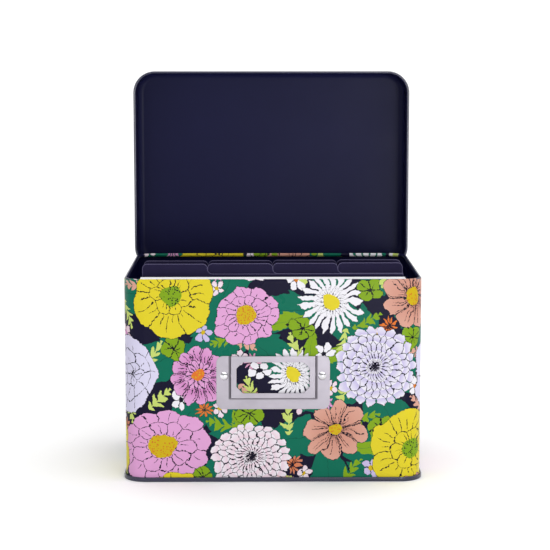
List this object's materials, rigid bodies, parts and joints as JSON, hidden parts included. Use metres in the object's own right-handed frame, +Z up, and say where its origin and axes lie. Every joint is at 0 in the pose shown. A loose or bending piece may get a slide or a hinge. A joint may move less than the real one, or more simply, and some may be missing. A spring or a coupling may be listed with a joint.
{
  "type": "hinged tin card box",
  "caption": "Hinged rounded-corner tin box with rolled rims, a riveted label frame, index cards and tabbed divider cards.",
  "frame": {"origin": "centre of the underside, on the surface the box stands on", "axes": "+X to the right along the front, +Y from the front to the hinge at the back, +Z up"},
  "size_m": [0.1744, 0.1467, 0.233],
  "materials": {
    "printed_tin": "gloss floral print on navy ground outside, navy lacquer inside",
    "lid_tin": "gloss floral print outside, satin navy lacquer inside",
    "navy_lacquer": "gloss navy lacquer",
    "label_satin": "satin nickel plate",
    "bright_rivet": "bright polished",
    "hinge_steel": "satin stamped steel",
    "pin_steel": "drawn wire",
    "hinge_rivet": "bright steel",
    "card_white": "uncoated card stock",
    "divider_card": "navy coated card with lighter cut edges"
  },
  "bodies": {
    "body": {"body_shell": "printed_tin", "base_pan": "navy_lacquer", "label_holder": "label_satin", "label_rivets": "bright_rivet", "hinge_body_leaf_left": "hinge_steel", "hinge_body_leaf_right": "hinge_steel", "hinge_pin_left": "pin_steel", "hinge_pin_right": "pin_steel", "hinge_rivets_body": "hinge_rivet"},
    "lid": {"lid_shell": "lid_tin", "hinge_lid_leaf_left": "hinge_steel", "hinge_lid_leaf_right": "hinge_steel", "hinge_rivets_lid": "hinge_rivet"},
    "cards": {"index_cards": "card_white"},
    "divider_1": {"divider_1": "divider_card"},
    "divider_2": {"divider_2": "divider_card"},
    "divider_3": {"divider_3": "divider_card"},
    "divider_4": {"divider_4": "divider_card"},
    "divider_5": {"divider_5": "divider_card"},
    "divider_6": {"divider_6": "divider_card"},
    "divider_7": {"divider_7": "divider_card"},
    "divider_8": {"divider_8": "divider_card"}
  },
  "joints": [
    {"name": "lid_hinge", "type": "hinge", "parent": "body", "child": "lid", "pos_m": [0, 0.06285, 0.1075], "axis": [-1, 0, 0], "range_deg": [-90, 0]},
    {"name": "cards_lift", "type": "slide", "parent": "body", "child": "cards", "axis": [0, 0, 1], "range_m": [0, 0.12]},
    {"name": "divider_1_lift", "type": "slide", "parent": "body", "child": "divider_1", "axis": [0, 0, 1], "range_m": [0, 0.12]},
    {"name": "divider_2_lift", "type": "slide", "parent": "body", "child": "divider_2", "axis": [0, 0, 1], "range_m": [0, 0.12]},
    {"name": "divider_3_lift", "type": "slide", "parent": "body", "child": "divider_3", "axis": [0, 0, 1], "range_m": [0, 0.12]},
    {"name": "divider_4_lift", "type": "slide", "parent": "body", "child": "divider_4", "axis": [0, 0, 1], "range_m": [0, 0.12]},
    {"name": "divider_5_lift", "type": "slide", "parent": "body", "child": "divider_5", "axis": [0, 0, 1], "range_m": [0, 0.12]},
    {"name": "divider_6_lift", "type": "slide", "parent": "body", "child": "divider_6", "axis": [0, 0, 1], "range_m": [0, 0.12]},
    {"name": "divider_7_lift", "type": "slide", "parent": "body", "child": "divider_7", "axis": [0, 0, 1], "range_m": [0, 0.12]},
    {"name": "divider_8_lift", "type": "slide", "parent": "body", "child": "divider_8", "axis": [0, 0, 1], "range_m": [0, 0.12]}
  ]
}
